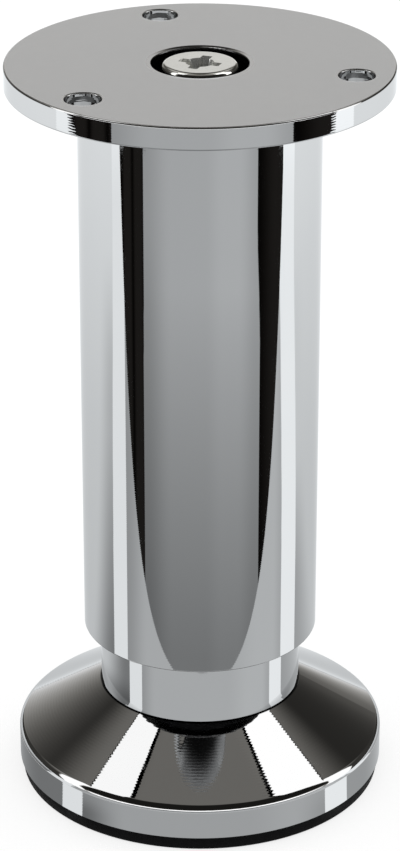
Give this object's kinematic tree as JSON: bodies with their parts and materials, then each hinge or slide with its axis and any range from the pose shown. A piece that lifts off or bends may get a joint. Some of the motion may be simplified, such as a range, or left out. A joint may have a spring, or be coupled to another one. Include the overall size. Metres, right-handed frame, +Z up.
{
  "type": "adjustable cabinet leg",
  "caption": "Chrome round-tube cabinet leg with a drilled mounting plate, a screw-adjusted neck and a conical base that turns on a black pad.",
  "frame": {"origin": "centre of the pad's underside, on the leg's axis, at the floor", "axes": "+Z up along the leg's axis; +X to the right and -Y to the viewer in the picture's view"},
  "size_m": [0.08, 0.08, 0.1622],
  "materials": {
    "chrome": "bright chrome plate",
    "zinc_plated_steel": "bright zinc plate",
    "plain_steel": "plain",
    "black_nylon": "moulded",
    "black_pad": "moulded"
  },
  "bodies": {
    "pad": {"base_pad": "black_pad"},
    "foot": {"base_flange": "chrome", "neck_sleeve": "chrome", "neck_cap": "plain_steel", "spindle_bolt": "zinc_plated_steel", "bolt_washer": "zinc_plated_steel", "clamp_washer": "zinc_plated_steel", "clamp_nut": "zinc_plated_steel"},
    "leg": {"leg_tube": "chrome", "mounting_plate": "chrome", "plate_screw": "zinc_plated_steel", "plate_lock_washer": "zinc_plated_steel", "top_insert": "plain_steel", "nut_disc": "plain_steel", "spindle_nut": "zinc_plated_steel", "guide_bush": "black_nylon"}
  },
  "joints": [
    {"name": "foot_turn", "type": "hinge", "parent": "pad", "child": "foot", "pos_m": [0, 0, 0.0028], "axis": [0, 0, -1], "range_deg": [-2880, 1920]},
    {"name": "leg_height", "type": "slide", "parent": "pad", "child": "leg", "axis": [0, 0, 1], "range_m": [-0.012, 0.008]}
  ],
  "couplings": [
    {"joint": "leg_height", "follows": "foot_turn", "m_per_rad": 0.00023873}
  ]
}
